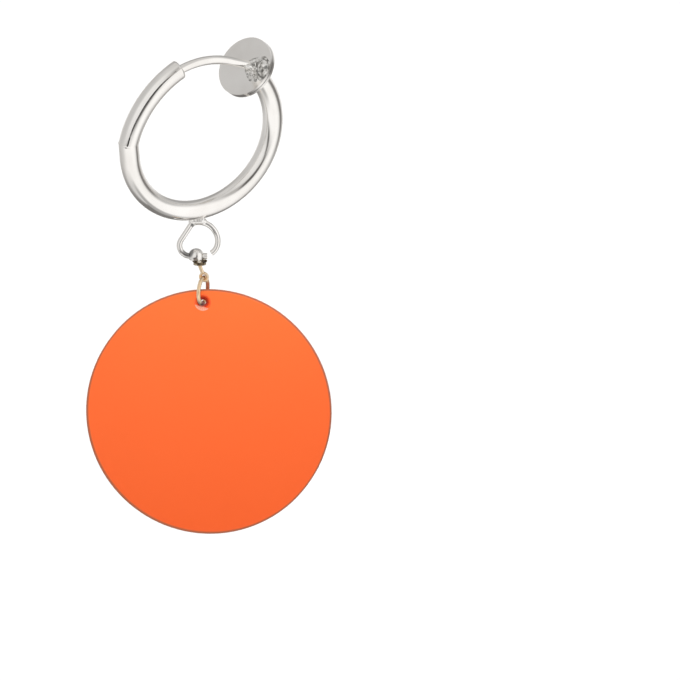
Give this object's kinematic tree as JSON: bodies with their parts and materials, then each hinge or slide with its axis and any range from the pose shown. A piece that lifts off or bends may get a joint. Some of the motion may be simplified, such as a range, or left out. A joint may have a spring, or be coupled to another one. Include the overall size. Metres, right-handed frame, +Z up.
{
  "type": "clip-on hoop earring",
  "caption": "Clip-on earring: a polished tube hoop closed by a sliding wire between round ear pads, with an open wire loop and a flat orange disc hung on a gold jump ring.",
  "frame": {"origin": "between the faces of the ear pads, where the earring clips on", "axes": "+Z up as the earring hangs, -Y the side that is seen when it is worn"},
  "size_m": [0.0246, 0.011, 0.0501],
  "materials": {
    "silver_plate": "polished",
    "dark_gold": "satin",
    "pale_gold": "polished",
    "orange": "satin"
  },
  "bodies": {
    "clip": {"hoop": "silver_plate"},
    "slide": {"clip_wire": "silver_plate"},
    "link": {"bead": "silver_plate", "coil": "dark_gold", "eye_pin": "pale_gold", "jump_ring": "pale_gold"},
    "drop": {"disc": "orange"}
  },
  "joints": [
    {"name": "wire_slide", "type": "hinge", "parent": "clip", "child": "slide", "pos_m": [-0.00453, -0.00111, -0.00669], "axis": [0.4826, -0.8325, -0.2723], "range_deg": [0, 38], "stiffness_Nm_per_rad": 0.002, "springref_deg": -85.94},
    {"name": "drop_swing", "type": "hinge", "parent": "clip", "child": "link", "pos_m": [-0.00505, 0.00122, -0.01917], "axis": [1, 0, 0], "range_deg": [-45, 45]},
    {"name": "disc_swing", "type": "hinge", "parent": "link", "child": "drop", "pos_m": [-0.00433, 0.00122, -0.0238], "axis": [-0.0976, -0.9952, 0], "range_deg": [-30, 30]}
  ]
}
